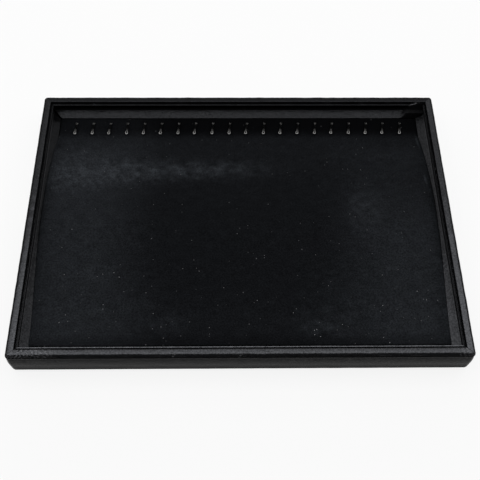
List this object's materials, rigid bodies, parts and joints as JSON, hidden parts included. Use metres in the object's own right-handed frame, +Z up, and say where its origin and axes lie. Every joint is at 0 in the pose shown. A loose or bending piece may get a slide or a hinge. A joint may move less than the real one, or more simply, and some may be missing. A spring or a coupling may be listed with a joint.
{
  "type": "bracelet display tray",
  "caption": "Shallow open tray with a leatherette-wrapped moulding frame, a velvet ramp pad and a row of wire hooks behind the ramp, for laying out bracelets.",
  "frame": {"origin": "middle of the underside, on the surface the tray stands on", "axes": "+Z up; +X along the row of hooks, to the right as seen from the front; +Y from the front rail to the back rail, where the hooks are"},
  "size_m": [0.352, 0.247, 0.03],
  "materials": {
    "leatherette": "black pebble-grained leatherette, satin",
    "velvet": "black short-pile velvet with brushed patches",
    "backing": "black paper-covered board, matte",
    "hook_wire": "dark nickel-plated wire"
  },
  "bodies": {
    "root": {"front_rail": "leatherette", "back_rail": "leatherette", "left_rail": "leatherette", "right_rail": "leatherette", "bottom_board": "backing", "ramp_pad": "velvet", "hook_01": "hook_wire", "hook_02": "hook_wire", "hook_03": "hook_wire", "hook_04": "hook_wire", "hook_05": "hook_wire", "hook_06": "hook_wire", "hook_07": "hook_wire", "hook_08": "hook_wire", "hook_09": "hook_wire", "hook_10": "hook_wire", "hook_11": "hook_wire", "hook_12": "hook_wire", "hook_13": "hook_wire", "hook_14": "hook_wire", "hook_15": "hook_wire", "hook_16": "hook_wire", "hook_17": "hook_wire", "hook_18": "hook_wire", "hook_19": "hook_wire", "hook_20": "hook_wire"}
  },
  "joints": []
}
